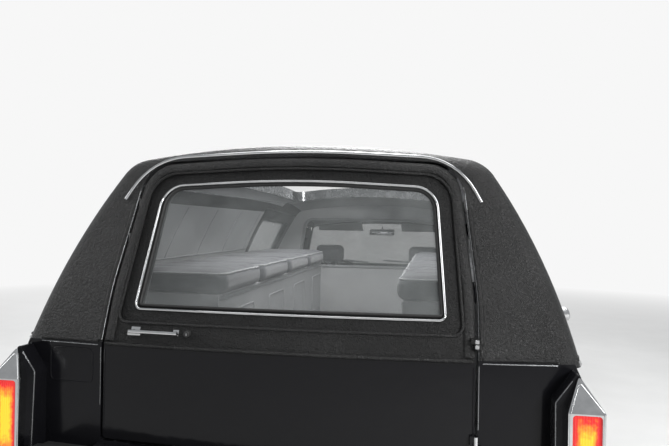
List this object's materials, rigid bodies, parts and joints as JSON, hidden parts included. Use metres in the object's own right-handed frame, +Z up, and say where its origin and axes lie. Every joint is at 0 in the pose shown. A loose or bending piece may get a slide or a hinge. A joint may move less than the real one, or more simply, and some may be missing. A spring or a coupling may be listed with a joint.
{
  "type": "hearse",
  "caption": "Long low hearse with padded roof and quarters, open roof over side benches, side-hinged glazed tailgate, opening doors and hood, steering and rolling wheels.",
  "frame": {"origin": "on the floor, midway along and across the vehicle", "axes": "+X to the vehicle's right, +Y forward, +Z up"},
  "size_m": [2.25, 6.35, 1.702],
  "materials": {
    "paint": "gloss black",
    "vinyl": "grained black vinyl",
    "chrome": "polished",
    "glass": "clear",
    "lamp_red": "moulded lens",
    "lamp_clear": "moulded lens",
    "tyre": "rubber with a white band",
    "wheel": "polished cover",
    "steel_black": "satin black",
    "steel_bare": "dull",
    "iron": "dull",
    "carpet": "carpet",
    "grey_trim": "satin",
    "cushion": "woven cloth over foam",
    "seat": "woven cloth over foam",
    "dash": "matt"
  },
  "bodies": {
    "coach": {"chassis_frame": "steel_black", "floor_pan": "carpet", "screen_surround": "paint", "screen_glass": "glass", "roof_panel": "vinyl", "roof_opening_rim": "chrome", "upper_quarters": "vinyl", "lower_quarters": "paint", "sills_and_pillars": "paint", "fenders": "paint", "nose_panel": "paint", "headlamps": "lamp_clear", "grille": "chrome", "front_bumper": "chrome", "rear_bumper": "paint", "tail_lamps": "lamp_red", "lamp_bezels": "chrome", "landau_bars": "chrome", "dashboard": "dash", "steering_wheel": "dash", "front_seat": "seat", "cab_partition": "grey_trim", "bench_bases": "grey_trim", "bench_cushions": "cushion", "engine_and_gearbox": "iron", "front_suspension": "steel_black", "rear_axle": "steel_black", "exhaust_system": "steel_bare", "fuel_tank": "steel_black", "propeller_shaft": "steel_bare"},
    "hood_lid": {"hood": "paint"},
    "tail_door": {"tailgate": "vinyl", "tailgate_glass": "glass", "tailgate_handle": "chrome"},
    "door_front_right": {"front_door_right": "paint", "front_door_glass_right": "glass"},
    "door_rear_right": {"rear_door_right": "paint", "rear_door_glass_right": "glass"},
    "steer_right": {"knuckle_right": "iron"},
    "roll_front_right": {"tyre_front_right": "tyre", "wheel_front_right": "wheel"},
    "roll_rear_right": {"tyre_rear_right": "tyre", "wheel_rear_right": "wheel"},
    "door_front_left": {"front_door_left": "paint", "front_door_glass_left": "glass"},
    "door_rear_left": {"rear_door_left": "paint", "rear_door_glass_left": "glass"},
    "steer_left": {"knuckle_left": "iron"},
    "roll_front_left": {"tyre_front_left": "tyre", "wheel_front_left": "wheel"},
    "roll_rear_left": {"tyre_rear_left": "tyre", "wheel_rear_left": "wheel"}
  },
  "joints": [
    {"name": "hood_hinge", "type": "hinge", "parent": "coach", "child": "hood_lid", "pos_m": [0, 1.406, 0.998], "axis": [1, 0, 0], "range_deg": [0, 55]},
    {"name": "tail_door_hinge", "type": "hinge", "parent": "coach", "child": "tail_door", "pos_m": [0.6045, -2.99289, 0.9], "axis": [0, 0, 1], "range_deg": [0, 95]},
    {"name": "door_front_right_hinge", "type": "hinge", "parent": "coach", "child": "door_front_right", "pos_m": [0.951, 1.27, 0.6], "axis": [0, 0, 1], "range_deg": [0, 65]},
    {"name": "door_rear_right_hinge", "type": "hinge", "parent": "coach", "child": "door_rear_right", "pos_m": [0.953, 0, 0.6], "axis": [0, 0, 1], "range_deg": [0, 65]},
    {"name": "steer_right_pivot", "type": "hinge", "parent": "coach", "child": "steer_right", "pos_m": [0.645, 2.105, 0.367], "axis": [0, 0, 1], "range_deg": [-30, 30]},
    {"name": "wheel_front_right_spin", "type": "hinge", "parent": "steer_right", "child": "roll_front_right", "pos_m": [0.783, 2.105, 0.367], "axis": [1, 0, 0], "continuous": true},
    {"name": "wheel_rear_right_spin", "type": "hinge", "parent": "coach", "child": "roll_rear_right", "pos_m": [0.771, -1.575, 0.367], "axis": [1, 0, 0], "continuous": true},
    {"name": "door_front_left_hinge", "type": "hinge", "parent": "coach", "child": "door_front_left", "pos_m": [-0.951, 1.27, 0.6], "axis": [0, 0, -1], "range_deg": [0, 65]},
    {"name": "door_rear_left_hinge", "type": "hinge", "parent": "coach", "child": "door_rear_left", "pos_m": [-0.953, 0, 0.6], "axis": [0, 0, -1], "range_deg": [0, 65]},
    {"name": "steer_left_pivot", "type": "hinge", "parent": "coach", "child": "steer_left", "pos_m": [-0.645, 2.105, 0.367], "axis": [0, 0, 1], "range_deg": [-30, 30]},
    {"name": "wheel_front_left_spin", "type": "hinge", "parent": "steer_left", "child": "roll_front_left", "pos_m": [-0.783, 2.105, 0.367], "axis": [1, 0, 0], "continuous": true},
    {"name": "wheel_rear_left_spin", "type": "hinge", "parent": "coach", "child": "roll_rear_left", "pos_m": [-0.771, -1.575, 0.367], "axis": [1, 0, 0], "continuous": true}
  ],
  "couplings": [
    {"joint": "steer_left_pivot", "follows": "steer_right_pivot", "ratio": 1}
  ]
}
